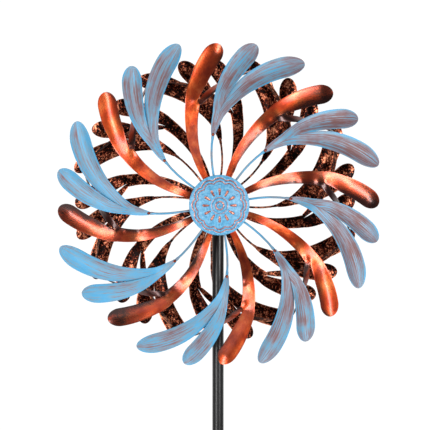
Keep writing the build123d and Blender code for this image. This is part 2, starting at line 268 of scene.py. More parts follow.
bearing_steel = ground_bearing_steel()
dress(powder_coat, "black_painted_steel", "head_sleeve")
dress(zinc_plate, "zinc_plated_steel", "axle", "axle_spacers", "axle_nuts")
dress(bearing_steel, "bearing_steel", "bearing_inner_rings")
for rotor_name in ("front", "rear"):
    dress(
        bearing_steel, "bearing_steel",
        f"{rotor_name}_bearing_outer_rings", f"{rotor_name}_bearing_balls",
    )


# ---- Strip arms --------------------------------------------------------------
# Eight arms a rotor, stamped from thin steel sheet.  Each leaves the hub as a
# narrow strip and swells to a long spoon-shaped petal; where it kinks, a second
# petal is split off its trailing edge and folded back on edge.
axle_height = (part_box("axle")[0].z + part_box("axle")[1].z) / 2 / MM
sheet = 1.2
pattern_radius = 305.0
rear_radius = 284.0
arm_pairs = 8
arm_spacing = 360 / arm_pairs
hub_edge = 60.0
arm_lift = 42.0
arm_crest_radius = 180.0
arm_droop = 10.0
arm_root_lift = 32.3
arm_set_back_length = 45.0
front_rest_turn = 18.2
rear_rest_turn = 20.2
most_rubbed_turn = 40.0     # side of the rotor whose paint was rubbed down most
most_shaded_turn = 45.0      # arms here and opposite get the most painted shade
arm_shade_swing = 0.26            # how much more painted shade those arms get than the mean
map_half_width = 18.0       # width on the sheet map from a strip's middle to its edge


@dataclass
class Finger:
    """One petal: radii and widths in mm, turns and pitch in degrees clockwise.

    It swells to its width by a power of a sine.
    """

    tip_radius: float
    start_radius: float
    start_turn: float
    tip_turn: float
    swirl_power: float
    width: float
    pitch: float
    dish: float
    set_back: float
    swell: float


strip_fork_radius = 195.0
strip_fork_width = 27.0
strip_root_radius = 30.0
strip_root_width = 10.0
strip_main = Finger(296.0, hub_edge, 0.0, 26.8, 1.5, 36.0, 14.0, 5.0, 0.0, 0.8)
strip_second = Finger(281.0, strip_fork_radius, 14.0, 50.0, 1.0, 22.0, 80.0, 2.5, 22.0, 0.8)
fork_pitch = 10.0
petal_widest = 0.82
petal_turned = 0.5


def smooth_rise(share):
    """From 0 to 1 with level ends: 3 s squared less 2 s cubed."""
    share = np.clip(share, 0, 1)
    return share * share * (3 - 2 * share)


def swirl(finger, radius):
    """Turn of a finger's centre line: a power of how far out it is, times its full swirl."""
    share = np.clip((radius - finger.start_radius) / (finger.tip_radius - finger.start_radius), 0, None)
    return finger.start_turn + (finger.tip_turn - finger.start_turn) * share**finger.swirl_power


def arm_height(radius):
    """Forward place of an arm's sheet: a smooth rise to the crest, then a gentle fall."""
    rise = smooth_rise((radius - hub_edge) / (arm_crest_radius - hub_edge))
    fall = smooth_rise((radius - arm_crest_radius) / (pattern_radius - arm_crest_radius))
    return arm_root_lift + sheet + arm_lift * rise - arm_droop * fall


def polar_points(radius, angle, height):
    """Points from radius, clockwise angle from the top in degrees, and forward height."""
    turn = np.radians(angle)
    return np.stack(np.broadcast_arrays(radius * np.sin(turn), radius * np.cos(turn), height), axis=-1)


def unit(vectors):
    """Vectors scaled to length 1."""
    return vectors / np.linalg.norm(vectors, axis=-1, keepdims=True)


def strip_points(line, radius, pitch, left, right, dish, across):
    """Points of a dished strip along a line, one row for each radius.

    Each row runs from left to right of the line, square to it, turned by pitch
    about it, and sinks behind that chord by a parabola that is dish deep.
    """
    centre = line(radius)
    along = unit(line(radius + 0.5) - line(radius - 0.5))
    side = unit(np.cross(along, (0.0, 0.0, 1.0)))
    front = np.cross(side, along)
    tilt = np.radians(pitch)[:, None]
    pitched_side = side * np.cos(tilt) + front * np.sin(tilt)
    pitched_front = front * np.cos(tilt) - side * np.sin(tilt)
    reach = left[:, None] + (right - left)[:, None] * across[None, :]
    sink = -4 * dish[:, None] * across * (1 - across)
    return (
        centre[:, None] + pitched_side[:, None] * reach[..., None]
        + pitched_front[:, None] * sink[..., None]
    )


def finger_shares(rows):
    """Shares of a finger's length, closing up towards the round tip like a quarter circle."""
    straight = np.linspace(0, petal_widest, rows - rows // 3 + 1)[1:]
    turn = np.linspace(0, np.radians(88), rows // 3 + 1)[1:]
    return np.concatenate([straight, petal_widest + (1 - petal_widest) * np.sin(turn)])


def finger_points(finger, fork_radius, start_width, size, rows, across):
    """Points of one petal from just past its fork to its tip, and their shares.

    The width swells as a power of a sine and then closes as a half ellipse.
    """
    share = finger_shares(rows)
    radius = fork_radius + share * (finger.tip_radius - fork_radius)
    turn_in = smooth_rise(share / petal_turned)
    pitch = fork_pitch + (finger.pitch - fork_pitch) * turn_in
    swell = np.sin(np.pi / 2 * np.clip(share / petal_widest, 0, 1)) ** finger.swell
    close = np.sqrt(1 - np.clip((share - petal_widest) / (1 - petal_widest), 0, 1) ** 2)
    width = (start_width + (finger.width - start_width) * swell) * close
    dish = finger.dish * (width / finger.width) ** 2 * turn_in

    def line(r):
        back = finger.set_back * smooth_rise((r - fork_radius) / arm_set_back_length)
        return polar_points(r * size, swirl(finger, r), arm_height(r) - back)

    half = width * size / 2
    return strip_points(line, radius, pitch, -half, half, dish, across), share, radius


def join_at_fork(petal, share, first_row, fork_row, blend_length=0.45):
    """Move a petal's first rows so that it leaves its own part of the fork smoothly.

    The gap between where it starts and the fork's edge fades out by a smooth rise.
    """
    gap = fork_row - first_row
    fade = 1 - smooth_rise(share / blend_length)
    return petal + gap[None] * fade[:, None, None]


@dataclass
class Stamping:
    """A pressed sheet, with each point's place on the pattern.

    side runs across a strip from -1 at its anticlockwise edge to 1, radius is in
    mm, and petal is 0 on the stem and 1 or 2 on the petals.
    """

    points: np.ndarray
    faces: list
    side: np.ndarray
    radius: np.ndarray
    petal: np.ndarray


def forked_sheet(stem, stem_radius, fingers, fork_radius, columns, split, size, rows):
    """One stamping as a single surface: the stem's rows, then each petal's rows."""
    across = np.linspace(0, 1, columns + 1)
    points = [stem.reshape(-1, 3)]
    sides = [np.tile(across * 2 - 1, len(stem))]
    radii = [np.repeat(stem_radius, columns + 1)]
    petals = [np.zeros(stem_radius.size * (columns + 1))]
    stem_index = np.arange(stem.shape[0] * (columns + 1)).reshape(-1, columns + 1)
    faces = grid_faces(stem_index)
    count = stem_index.size
    for finger, span in zip(fingers, (slice(0, split + 1), slice(split, columns + 1))):
        fork_row = stem[-1, span]
        start_width = np.linalg.norm(fork_row[-1] - fork_row[0]) / size
        own_across = np.linspace(0, 1, fork_row.shape[0])
        petal, share, radius = finger_points(finger, fork_radius, start_width, size, rows, own_across)
        start = polar_points(fork_radius * size, swirl(finger, fork_radius), arm_height(fork_radius))
        first_row = start + (fork_row - fork_row.mean(axis=0))
        petal = join_at_fork(petal, share, first_row, fork_row)
        index = count + np.arange(petal.shape[0] * petal.shape[1]).reshape(petal.shape[:2])
        count += index.size
        faces += grid_faces(np.concatenate([stem_index[-1:, span], index]))
        points.append(petal.reshape(-1, 3))
        own_sides = own_across * 2 - 1
        fork_sides = across[span] * 2 - 1
        fade = smooth_rise(share / 0.3)[:, None]
        sides.append((fork_sides * (1 - fade) + own_sides * fade).ravel())
        radii.append(np.repeat(radius, fork_row.shape[0]))
        petals.append(np.full(index.size, len(petals)))
    return Stamping(
        np.concatenate(points), faces, np.concatenate(sides), np.concatenate(radii),
        np.concatenate(petals),
    )


def press_kinks(stamping):
    """Push the sheet where the press kinks it: a dimple on the stem and a pinch at the fork.

    Each is a bell curve in radius and across, deepest near the trailing edge, and
    the pinch is followed by a shallow valley across the whole strip.
    """
    def bell(centre, length, place, spread):
        out = (stamping.radius - centre) / length
        return np.exp(-(out**2) - ((stamping.side - place) / spread) ** 2)

    push = -0.6 * bell(153, 5, 0.70, 0.35) + 0.5 * bell(160, 6, 0.45, 0.5)
    push += -1.4 * bell(190, 5, 0.55, 0.35) + 1.2 * bell(200, 7, 0.30, 0.5)
    stamping.points[:, 2] += push


def strip_arm(size):
    """A strip arm: an even strip that widens from the hub plate to the fork, and two petals."""
    stem_rows = 56
    radius = np.linspace(strip_root_radius / size, strip_fork_radius, stem_rows)
    plate_edge = 48.0 / size
    growth = np.clip((radius - plate_edge) / (strip_fork_radius - plate_edge), 0, 1)
    width = strip_root_width + (strip_fork_width * size - strip_root_width) * growth
    pitch = fork_pitch * smooth_rise((radius - radius[0]) / (radius[-1] - radius[0]))

    def line(r):
        return polar_points(r * size, swirl(strip_main, r), arm_height(r))

    columns, split = 15, 11
    dish = 0.6 * smooth_rise((radius - 70) / 60)
    dish = dish * (1 - smooth_rise((radius - 150) / 45))
    stem = strip_points(line, radius, pitch, -width / 2, width / 2, dish, np.linspace(0, 1, columns + 1))
    stamping = forked_sheet(
        stem, radius, (strip_main, strip_second), strip_fork_radius, columns, split, size, 42
    )
    press_kinks(stamping)
    return stamping


def to_world(points, turn, facing_front):
    """Turn rotor points clockwise about the axle and face them to the front or the rear."""
    angle = np.radians(turn)
    x = points[..., 0] * np.cos(angle) + points[..., 1] * np.sin(angle)
    up = points[..., 1] * np.cos(angle) - points[..., 0] * np.sin(angle) + axle_height
    forward = points[..., 2]
    if facing_front:
        return np.stack([x, -forward, up], axis=-1) * MM
    return np.stack([-x, forward, up], axis=-1) * MM


def thicken(thing, thickness, edge=0.35):
    """Give a surface its sheet's thickness behind it, and a softened cut edge."""
    wall = thing.modifiers.new("sheet thickness", "SOLIDIFY")
    wall.thickness = thickness * MM
    wall.offset = -1
    wall.use_even_offset = True
    round_over = thing.modifiers.new("softened edge", "BEVEL")
    round_over.width = edge * MM
    round_over.segments = 2
    round_over.limit_method = "ANGLE"
    round_over.angle_limit = math.radians(50)


def wax_and_shade_left(stamping, turn):
    """Share of antiquing wax and of painted shade on a strip arm at a turn of the rotor.

    The wax stays along the clockwise edge and at the tip.  The folded petal gets more of
    the same dark colour as painted shade, and some arms get more than others, also as
    painted shade: a cosine of twice the turn.
    """
    edge = 0.45 * np.clip((stamping.side - 0.1) / 0.95, 0, 1)
    tip = 0.34 * np.clip((stamping.radius - 225) / 71, 0, 1)
    # painted shade: the folded petal is darkened as if it lay in shadow
    folded_petal_shade = 0.45 * (stamping.petal == 2)
    # painted shade: arms at some turns of the rotor are darkened where the lamps are not reflected
    return edge + tip + folded_petal_shade + arm_shade_swing * math.cos(2 * math.radians(turn - most_shaded_turn))


def put_stamping(name, node, stamping, turn, facing_front, material, shift):
    """Put one stamping in place of its CAD node, with its sheet coordinates in mm.

    The map runs across and along the strip; shift gives each its own brush marks.
    Rub is how much paint was rubbed off: most near one side of the rotor.
    """
    sheet_map = np.stack([stamping.side * map_half_width + shift, stamping.radius], axis=-1) * MM
    rub = np.full(len(stamping.points), math.cos(math.radians(turn - most_rubbed_turn)))
    values = {"side": stamping.side, "wax_and_shade": wax_and_shade_left(stamping, turn), "rub": rub}
    points = to_world(stamping.points, turn, facing_front)
    thing = put_mesh(name, points, stamping.faces, material, values, sheet_map)
    thicken(thing, sheet)
    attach(thing, "front_rotor" if facing_front else "rear_rotor")
    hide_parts(node)


def brushed_copper_lacquer(name, map_output):
    """Copper-toned metallic lacquer on steel, rubbed over with dark antiquing wax.

    It is bright and warm where it is bare, and the strokes of the brush, which run
    along each arm, spread its highlights sideways.  The wax stays as fine dark
    strokes and specks along the trailing edge and at the tip of each petal, and the
    same dark colour is painted on as shade over the folded petals and over some arms.
    """
    material, add = new_finish(name)
    place = add("TexCoord", {}).outputs[map_output]
    # the wax attribute holds real wax and painted shade
    wax_and_shade_share = add("Attribute", {}, attribute_name="wax_and_shade").outputs["Fac"]
    strokes_place = add("Mapping", {"Vector": place, "Scale": (per_mm(1.3), per_mm(14), 1.0)})
    strokes = add("TexNoise", {"Vector": strokes_place, "Scale": 1.0, "Detail": 5.0, "Roughness": 0.7})
    patches = add("TexNoise", {"Vector": place, "Scale": per_mm(26), "Detail": 3.0})
    specks = add("TexNoise", {"Vector": place, "Scale": per_mm(2.4), "Detail": 4.0, "Roughness": 0.8})
    patchy = add("Math", {0: patches, 1: wax_and_shade_share}, operation="ADD")
    marks = add("Math", {0: strokes, 1: specks}, operation="ADD")
    wax_and_shade = add("Math", {0: patchy, 1: marks}, operation="ADD")
    wax_and_shade_cover = add("MapRange", {"Value": wax_and_shade, 1: 1.66, 2: 2.10, 3: 0.0, 4: 1.0})
    copper = add("ValToRGB", {"Fac": patches}, stops=[
        (0.35, hex_colour("#962C0A")), (0.52, hex_colour("#BA4416")), (0.72, hex_colour("#DA7038")),
    ])
    # dark wax colour, also used as painted shade on the folded petals and the darker arms
    colour = add("Mix", {
        "Factor": wax_and_shade_cover, 6: copper, 7: hex_colour("#35100A"),
    }, data_type="RGBA")
    rough = add("MapRange", {"Value": marks, 1: 0.7, 2: 1.3, 3: 0.24, 4: 0.40})
    bump = add("Bump", {"Height": strokes, "Strength": 0.45, "Distance": 0.0003})
    add("shader", {
        "Base Color": colour, "Metallic": 0.92, "Roughness": rough, "Normal": bump,
        "Coat Weight": 0.8, "Coat Roughness": 0.22, "Anisotropic": 0.8,
    })
    if map_output == "UV":
        across = add("Tangent", {}, direction_type="UV_MAP", uv_map="sheet")
        add("shader", {"Tangent": across})
    return material


def antiqued_black_copper():
    """Black-brown paint sponged over copper lacquer on steel.

    The sponge leaves a net of copper flecks, two or three millimetres across, in
    the dark coat, and the copper shows through along the rubbed edges.
    """
    material, add = new_finish("antiqued_black_copper")
    place = add("TexCoord", {}).outputs["Object"]
    side = add("Attribute", {}, attribute_name="side").outputs["Fac"]
    clouds = add("TexNoise", {"Vector": place, "Scale": per_mm(22), "Detail": 2.0})
    flecks = add("TexNoise", {
        "Vector": place, "Scale": per_mm(4.2), "Detail": 4.0, "Roughness": 0.75, "Distortion": 0.6,
    })
    cloudy = add("Math", {0: clouds, 1: 0.4}, operation="MULTIPLY")
    cover = add("Math", {0: flecks, 1: cloudy}, operation="ADD")
    from_middle = add("Math", {0: side}, operation="ABSOLUTE")
    edge = add("MapRange", {"Value": from_middle, 1: 0.86, 2: 1.0, 3: 0.0, 4: 0.12})
    bare = add("Math", {0: cover, 1: edge}, operation="ADD")
    share = add("MapRange", {"Value": bare, 1: 0.52, 2: 0.92})
    colour = add("ValToRGB", {"Fac": share}, stops=[
        (0.34, hex_colour("#0A0201")), (0.48, hex_colour("#2C0B06")),
        (0.60, hex_colour("#84341E")), (0.76, hex_colour("#DC906C")),
    ])
    metal = add("MapRange", {"Value": share, 1: 0.35, 2: 0.6, 3: 0.7, 4: 0.95})
    rough = add("MapRange", {"Value": flecks, 1: 0.35, 2: 0.7, 3: 0.30, 4: 0.44})
    bump = add("Bump", {"Height": flecks, "Strength": 0.3, "Distance": 0.0004})
    add("shader", {
        "Base Color": colour, "Metallic": metal, "Roughness": rough, "Normal": bump,
        "Specular IOR Level": 0.15,
    })
    return material


copper_lacquer = brushed_copper_lacquer("brushed_copper_lacquer", "UV")
black_copper = antiqued_black_copper()
rear_size = rear_radius / pattern_radius
front_strip = strip_arm(1.0)
rear_strip = strip_arm(rear_size)
for n in range(arm_pairs):
    put_stamping(
        f"copper_petal_arm_{n + 1}", f"front_copper_arm_{n + 1}", front_strip,
        front_rest_turn + arm_spacing * n, True, copper_lacquer, 90.0 * n,
    )
    put_stamping(
        f"rear_petal_arm_{n + 1}", f"rear_strip_arm_{n + 1}", rear_strip,
        rear_rest_turn + arm_spacing * n, False, black_copper, 90.0 * n,
    )


# ---- Forked leaves and their rods --------------------------------------------
# Between the strip arms, eight thin round rods each carry a forked leaf of two
# petals, stamped from the same sheet and welded on.  The front ones are painted.
rod_arm_turn = 16.3
leaf_root_radius = 132.0
leaf_root_width = 7.0
leaf_fork_radius = 168.0
leaf_fork_width = 21.3
leaf_first = Finger(303.0, hub_edge, 0.0, 23.4, 1.5, 37.0, 14.0, 5.0, 0.0, 1.1)
leaf_second = Finger(pattern_radius, hub_edge, 0.0, 41.3, 1.6, 39.0, 14.0, 5.0, 0.0, 1.1)
rod_radius = 2.0
rod_root_radius = 22.0
rod_bends = 4
rod_bend_radius = 60.0
rod_rounding = 0.3          # length of the rounding at each end
rod_rounded_share = 0.7     # of its width that is left at the very end
beaten_length = 6.0         # of a rod's outer end
beaten_share = 0.35         # how much wider and thinner it is there
rod_edge_share = 0.93       # rods are rubbed as much as a sheet this far towards its edge
bead_length = 7.0
bead_width = 5.4
bead_height = 5.0


def leaf_line(radius, size):
    """Centre line of a leaf below its fork: midway between its two petals."""
    turn = (swirl(leaf_first, radius) + swirl(leaf_second, radius)) / 2
    return polar_points(radius * size, turn, arm_height(radius))


def forked_leaf(size):
    """A leaf: a stem that spreads from the rod's end to the fork, and two petals."""
    radius = np.linspace(leaf_root_radius, leaf_fork_radius, 26)
    growth = (radius - leaf_root_radius) / (leaf_fork_radius - leaf_root_radius)
    width = leaf_root_width + (leaf_fork_width * size - leaf_root_width) * growth
    pitch = fork_pitch * smooth_rise(growth)
    dish = 1.0 * np.sin(np.pi * growth)
    columns = 16
    stem = strip_points(
        lambda r: leaf_line(r, size), radius, pitch, -width / 2, width / 2, dish,
        np.linspace(0, 1, columns + 1),
    )
    return forked_sheet(
        stem, radius, (leaf_first, leaf_second), leaf_fork_radius, columns, columns // 2, size, 42
    )


def dry_brushed_blue():
    """Sky blue enamel dry-brushed over copper lacquer and a grey-mauve wash.

    The nearly dry brush drags the paint lengthwise, so thin streaks of the
    undercoat show all along, with solid blue left along the cut edges.
    """
    material, add = new_finish("dry_brushed_blue")
    place = add("TexCoord", {}).outputs["UV"]
    side = add("Attribute", {}, attribute_name="side").outputs["Fac"]
    long_place = add("Mapping", {"Vector": place, "Scale": (per_mm(2.4), per_mm(70), 1.0)})
    fine_place = add("Mapping", {"Vector": place, "Scale": (per_mm(1.0), per_mm(26), 1.0)})
    long_streaks = add("TexNoise", {"Vector": long_place, "Scale": 1.0, "Detail": 3.0, "Distortion": 0.4})
    fine_streaks = add("TexNoise", {"Vector": fine_place, "Scale": 1.0, "Detail": 4.0, "Roughness": 0.6})
    patches = add("TexNoise", {"Vector": place, "Scale": per_mm(48), "Detail": 3.0, "Roughness": 0.6})
    streaks = add("Math", {0: long_streaks, 1: fine_streaks}, operation="ADD")
    rub = add("Attribute", {}, attribute_name="rub").outputs["Fac"]
    rubbed = add("MapRange", {"Value": rub, 1: -1.0, 2: 1.0, 3: -0.03, 4: 0.15})
    patchy = add("Math", {0: patches, 1: rubbed}, operation="ADD")
    wide = add("Math", {0: streaks, 1: patchy}, operation="ADD")
    from_middle = add("Math", {0: side}, operation="ABSOLUTE")
    edge = add("MapRange", {"Value": from_middle, 1: 0.80, 2: 1.0, 3: 0.0, 4: 0.22})
    bare = add("Math", {0: wide, 1: edge}, operation="SUBTRACT")
    share = add("MapRange", {"Value": bare, 1: 1.20, 2: 1.86})
    colour = add("ValToRGB", {"Fac": share}, stops=[
        (0.16, hex_colour("#4290BA")), (0.34, hex_colour("#5690B0")), (0.48, hex_colour("#688597")),
        (0.64, hex_colour("#75707E")), (0.90, hex_colour("#6C4A4A")),
    ])
    rough = add("MapRange", {"Value": streaks, 1: 0.7, 2: 1.3, 3: 0.38, 4: 0.60})
    bump = add("Bump", {"Height": streaks, "Strength": 0.4, "Distance": 0.0003})
    add("shader", {
        "Base Color": colour, "Metallic": 0.1, "Roughness": rough, "Normal": bump, "IOR": 1.5,
    })
    return material


def rounded_path(corners, radius, steps=10):
    """A line through corners, each rounded by a quadratic curve between tangent points.

    The tangent points lie the radius times the tangent of half the turn from the corner.
    """
    points = [corners[0][None]]
    for before, corner, after in zip(corners[:-2], corners[1:-1], corners[2:]):
        in_way, out_way = unit(corner - before), unit(after - corner)
        turn = np.arccos(np.clip(in_way @ out_way, -1, 1))
        reach = radius * np.tan(turn / 2)
        share = np.linspace(0, 1, steps)[:, None]
        start, end = corner - in_way * reach, corner + out_way * reach
        points.append(start * (1 - share) ** 2 + corner * 2 * share * (1 - share) + end * share**2)
    points.append(corners[-1][None])
    return np.concatenate(points)


def round_rod(path, half_width, half_height, facets=14):
    """Points of a rod: ellipses of the given half widths and heights, square to the path."""
    along = unit(np.gradient(path, axis=0))
    side = unit(np.cross(along, (0.0, 0.0, 1.0)))
    front = np.cross(side, along)
    angle = np.arange(facets) * 2 * np.pi / facets
    sideways = side[:, None] * (np.cos(angle) * half_width[:, None])[..., None]
    forward = front[:, None] * (np.sin(angle) * half_height[:, None])[..., None]
    return path[:, None] + sideways - forward


def leaf_rod(size):
    """The rod from the hub plate to a leaf, bent along the leaf's line.

    It stays level past the plate, its outer end is beaten flat where the leaf is
    brazed on, and both its ends are rounded off.
    """
    lay_height = arm_root_lift + rod_radius
    root = polar_points(rod_root_radius, 0.0, lay_height)
    bends = np.linspace((hub_edge + rod_radius) / size, leaf_root_radius, rod_bends + 1)
    corners = np.concatenate([root[None], leaf_line(bends, size) - (0, 0, sheet / 2)])
    corners[:, 2] = np.maximum(corners[:, 2], lay_height)
    path = rounded_path(corners, rod_bend_radius)
    from_end = np.linalg.norm(path - path[-1], axis=1)
    steps = np.array([rod_rounding, 4.0, 7.0, 10.0, 13.0])[::-1, None]
    last_run = path[-1] + unit(path[-2] - path[-1]) * steps
    root_end = path[0] + unit(path[1] - path[0]) * rod_rounding
    before_steps = from_end[1:-1] > steps.max() + 1
    path = np.concatenate([path[:1], root_end[None], path[1:-1][before_steps], last_run, path[-1:]])
    from_end = np.linalg.norm(path - path[-1], axis=1)
    beaten = 1 - smooth_rise((from_end - beaten_length) / beaten_length)
    half_width = rod_radius * (1 + beaten_share * beaten)
    half_height = rod_radius * (1 - beaten_share * beaten)
    for half in (half_width, half_height):
        half[[0, -1]] *= rod_rounded_share
    return round_rod(path, half_width, half_height)


def put_rods(name, node, rods, facing_front, rest_turn, material):
    """All rods of a rotor as one piece, each a closed tube."""
    points, faces, lengths = [], [], []
    index = np.arange(rods.shape[0] * rods.shape[1]).reshape(rods.shape[:2])
    run = np.linalg.norm(np.diff(rods.mean(axis=1), axis=0), axis=1)
    along = np.repeat(np.concatenate([[0], np.cumsum(run)]), rods.shape[1])
    round_place = np.tile(np.linspace(0, 4 * np.pi, rods.shape[1]), rods.shape[0])
    for n in range(arm_pairs):
        points.append(to_world(rods, rest_turn + arm_spacing * n, facing_front).reshape(-1, 3))
        own = index + n * index.size
        faces += grid_faces(own, closed=True) + [own[0][::-1].tolist(), own[-1].tolist()]
        lengths.append(np.stack([round_place + 60 * n, along], axis=-1) * MM)
    points = np.concatenate(points)
    side = np.full(len(points), rod_edge_share)
    thing = put_mesh(name, points, faces, material, {"side": side}, np.concatenate(lengths))
    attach(thing, "front_rotor" if facing_front else "rear_rotor")
    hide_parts(node)


def bronze_braze():
    """A bead of brazing bronze, left bare: warm and dull, with dark flux burnt on in spots."""
    material, add = new_finish("bronze_braze")
    place = add("TexCoord", {}).outputs["Object"]
    burns = add("TexNoise", {"Vector": place, "Scale": per_mm(3), "Detail": 4.0, "Roughness": 0.7})
    colour = add("ValToRGB", {"Fac": burns}, stops=[
        (0.36, hex_colour("#30100C")), (0.50, hex_colour("#7E3424")), (0.66, hex_colour("#B4684A")),
    ])
    rough = add("MapRange", {"Value": burns, 1: 0.3, 2: 0.7, 3: 0.34, 4: 0.6})
    bump = add("Bump", {"Height": burns, "Strength": 0.3, "Distance": 0.0004})
    add("shader", {"Base Color": colour, "Metallic": 0.8, "Roughness": rough, "Normal": bump})
    return material


def braze_beads(name, facing_front, size, rest_turn, material):
    """A bead over each joint of rod and leaf: an ellipsoid, closed at both ends.

    Along the rod it is half the length times minus cos out, sideways half the width
    times sin out cos turn, and forwards half the height times sin out sin turn.
    """
    centre = leaf_line(np.array([leaf_root_radius + 1.0]), size)[0] - (0, 0, sheet / 2)
    near, far = leaf_line(np.array([leaf_root_radius, leaf_root_radius + 2.0]), size)
    along = unit(far - near)
    side = unit(np.cross(along, (0.0, 0.0, 1.0)))
    front = np.cross(side, along)
    out = np.radians(np.linspace(4, 176, 9))[:, None]
    turn = (np.arange(12) * np.pi / 6)[None]
    bead = (
        centre + along * (bead_length / 2 * -np.cos(out) * np.ones_like(turn))[..., None]
        + side * (bead_width / 2 * np.sin(out) * np.cos(turn))[..., None]
        - front * (bead_height / 2 * np.sin(out) * np.sin(turn))[..., None]
    )
    index = np.arange(out.size * turn.size).reshape(out.size, turn.size)
    points, faces = [], []
    for n in range(arm_pairs):
        own = index + n * index.size
        points.append(to_world(bead, rest_turn + arm_spacing * n, facing_front).reshape(-1, 3))
        faces += grid_faces(own, closed=True) + [own[0][::-1].tolist(), own[-1].tolist()]
    thing = put_mesh(name, np.concatenate(points), faces, material)
    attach(thing, "front_rotor" if facing_front else "rear_rotor")


blue_enamel = dry_brushed_blue()
braze = bronze_braze()
for name, facing_front, size, rest_turn, finish, slot_name in (
    ("front", True, 1.0, front_rest_turn, blue_enamel, "blue_painted_steel"),
    ("rear", False, rear_size, rear_rest_turn, black_copper, "dark_mottled_steel"),
):
    leaf = forked_leaf(size)
    for n in range(arm_pairs):
        put_stamping(
            f"{name}_leaf_{n + 1}", f"{name}_forked_leaf_{n + 1}", leaf,
            rest_turn + rod_arm_turn + arm_spacing * n, facing_front, finish, 70.0 * n + 31,
        )
    put_rods(
        f"{name}_rods", f"{name}_leaf_rods", leaf_rod(size), facing_front,
        rest_turn + rod_arm_turn, finish,
    )
    braze_beads(f"{name}_braze_beads", facing_front, size, rest_turn + rod_arm_turn, braze)


# ---- Hubs and covers ---------------------------------------------------------
# A turned hub tube and a round plate carry the arms.  The front is hidden by a
# stamped medallion with a twelve-fold flower, the rear by a plain moulded cap.
hub_lacquer = brushed_copper_lacquer("brushed_copper_hub_lacquer", "Object")
dress(hub_lacquer, "copper_painted_steel", "front_hub_plate", "front_bearing_housing")
dress(black_copper, "dark_mottled_steel", "rear_hub_plate", "rear_bearing_housing")
dress(hub_lacquer, "copper_painted_steel", "front_medallion_collar")

medallion_radius = 57.0
rear_cap_radius = 50.0
cover_sheet = 1.0
cover_rim_radius = 1.5
cover_inner_apex = 51.6
cover_rim_floor = 39.5
flower_fold = 12


def dome_height(radius, edge_radius):
    """Outer height of a cover: a sphere through its apex and its rim."""
    rim = edge_radius - cover_rim_radius
    rise = cover_inner_apex - cover_rim_floor
    curve = (rim**2 + rise**2) / (2 * rise)
    return cover_inner_apex - curve + np.sqrt((curve + cover_sheet) ** 2 - radius**2)


def ridge(value, place, width):
    """A bell curve of height 1 about a place."""
    return np.exp(-((value - place) / width) ** 2)


def scallop(radius, angle, lobe_radius, cusp_radius, width):
    """A line of twelve lobes: its radius falls from each lobe's middle to the cusps."""
    swing = np.abs(np.cos(angle * flower_fold / 2))
    line = cusp_radius + (lobe_radius - cusp_radius) * swing**0.7
    return ridge(radius, line, width)


def flower_relief(radius, angle):
    """Relief of the medallion in mm, and how much bare copper shows in its hollows.

    A pierced boss in a raised ring, twelve teardrop hollows with raised lips, a dot
    outside each, and two scalloped grooves.  A teardrop is widest at its outer end.
    """
    fold_angle = 2 * np.pi / flower_fold
    nearest = (angle + fold_angle / 2) % fold_angle - fold_angle / 2
    sideways = radius * np.sin(nearest)
    boss = 1.3 * ridge(radius, 4.2, 1.6)
    boss_hole = ridge(radius, 0.0, 1.8)
    well = ridge(radius, 7.6, 1.6)
    ring = 1.5 * ridge(radius, 11.4, 2.2)
    moat = ridge(radius, 15.2, 1.2)
    along = np.clip((radius - 19.0) / 13.5, 0, 1)
    drop_half = 0.5 + 2.2 * np.sqrt(along) * np.sqrt(1 - along**8)
    drop = np.exp(-(sideways / drop_half) ** 4)
    drop = drop * smooth_rise((radius - 18.5) / 2.5) * smooth_rise((33.0 - radius) / 1.8)
    outer_half = drop_half + 1.3
    lip = np.exp(-(sideways / outer_half) ** 4)
    lip = lip * smooth_rise((radius - 17.0) / 2.5) * smooth_rise((34.6 - radius) / 1.8)
    dot = np.exp(-(((radius - 38.3) / 1.3) ** 2 + (sideways / 1.3) ** 2))
    inner_line = scallop(radius, angle, 45.4, 40.6, 1.15)
    outer_line = scallop(radius, angle, 51.4, 46.9, 1.15)
    between = ridge(radius, scallop_middle(angle), 1.9)
    relief = boss - 1.2 * boss_hole - 1.0 * well + ring - 0.8 * moat
    relief = relief + 1.0 * lip - 2.4 * drop + 0.9 * dot
    relief = relief - 1.3 * inner_line - 1.3 * outer_line + 0.9 * between
    copper = 0.9 * boss_hole + 0.75 * well + 0.6 * moat + 1.3 * drop + 0.5 * dot
    copper = copper + 0.95 * inner_line + 0.95 * outer_line
    return relief, np.clip(copper, 0, 1)


def scallop_middle(angle):
    """Radius midway between the two scalloped lines."""
    swing = np.abs(np.cos(angle * flower_fold / 2))
    return 44.1 + 4.1 * swing**0.7


def covered_dome(edge_radius, relief_of, facets, rows):
    """Rows of a cover from its apex over the front, round the rolled rim and back inside.

    The inside follows the relief, as on any stamped or moulded sheet.  Returns the
    points as a grid of rows by facets, and the copper shares.
    """
    angle = np.arange(facets) * 2 * np.pi / facets
    rim = edge_radius - cover_rim_radius
    front = np.linspace(0.2, rim - 0.6, rows)
    r, a = np.meshgrid(front, angle, indexing="ij")
    relief, copper = relief_of(r, a)
    z = dome_height(r, edge_radius) + relief
    bead = np.radians(np.linspace(60, -200, 14))
    bead_r = np.repeat((rim + cover_rim_radius * np.cos(bead))[:, None], facets, axis=1)
    bead_floor = dome_height(np.array([rim]), edge_radius)[0] - cover_sheet / 2
    bead_z = np.repeat((bead_floor + cover_rim_radius * np.sin(bead))[:, None], facets, axis=1)
    back_rows = front < rim - 2.5
    back_r = r[back_rows][::-1]
    back_z = z[back_rows][::-1] - cover_sheet
    radii = np.concatenate([r, bead_r, back_r])
    heights = np.concatenate([z, bead_z, back_z])
    shares = np.concatenate([copper, np.zeros_like(bead_r), copper[back_rows][::-1]])
    points = np.stack([radii * np.sin(angle), radii * np.cos(angle), heights], axis=-1)
    return points, shares


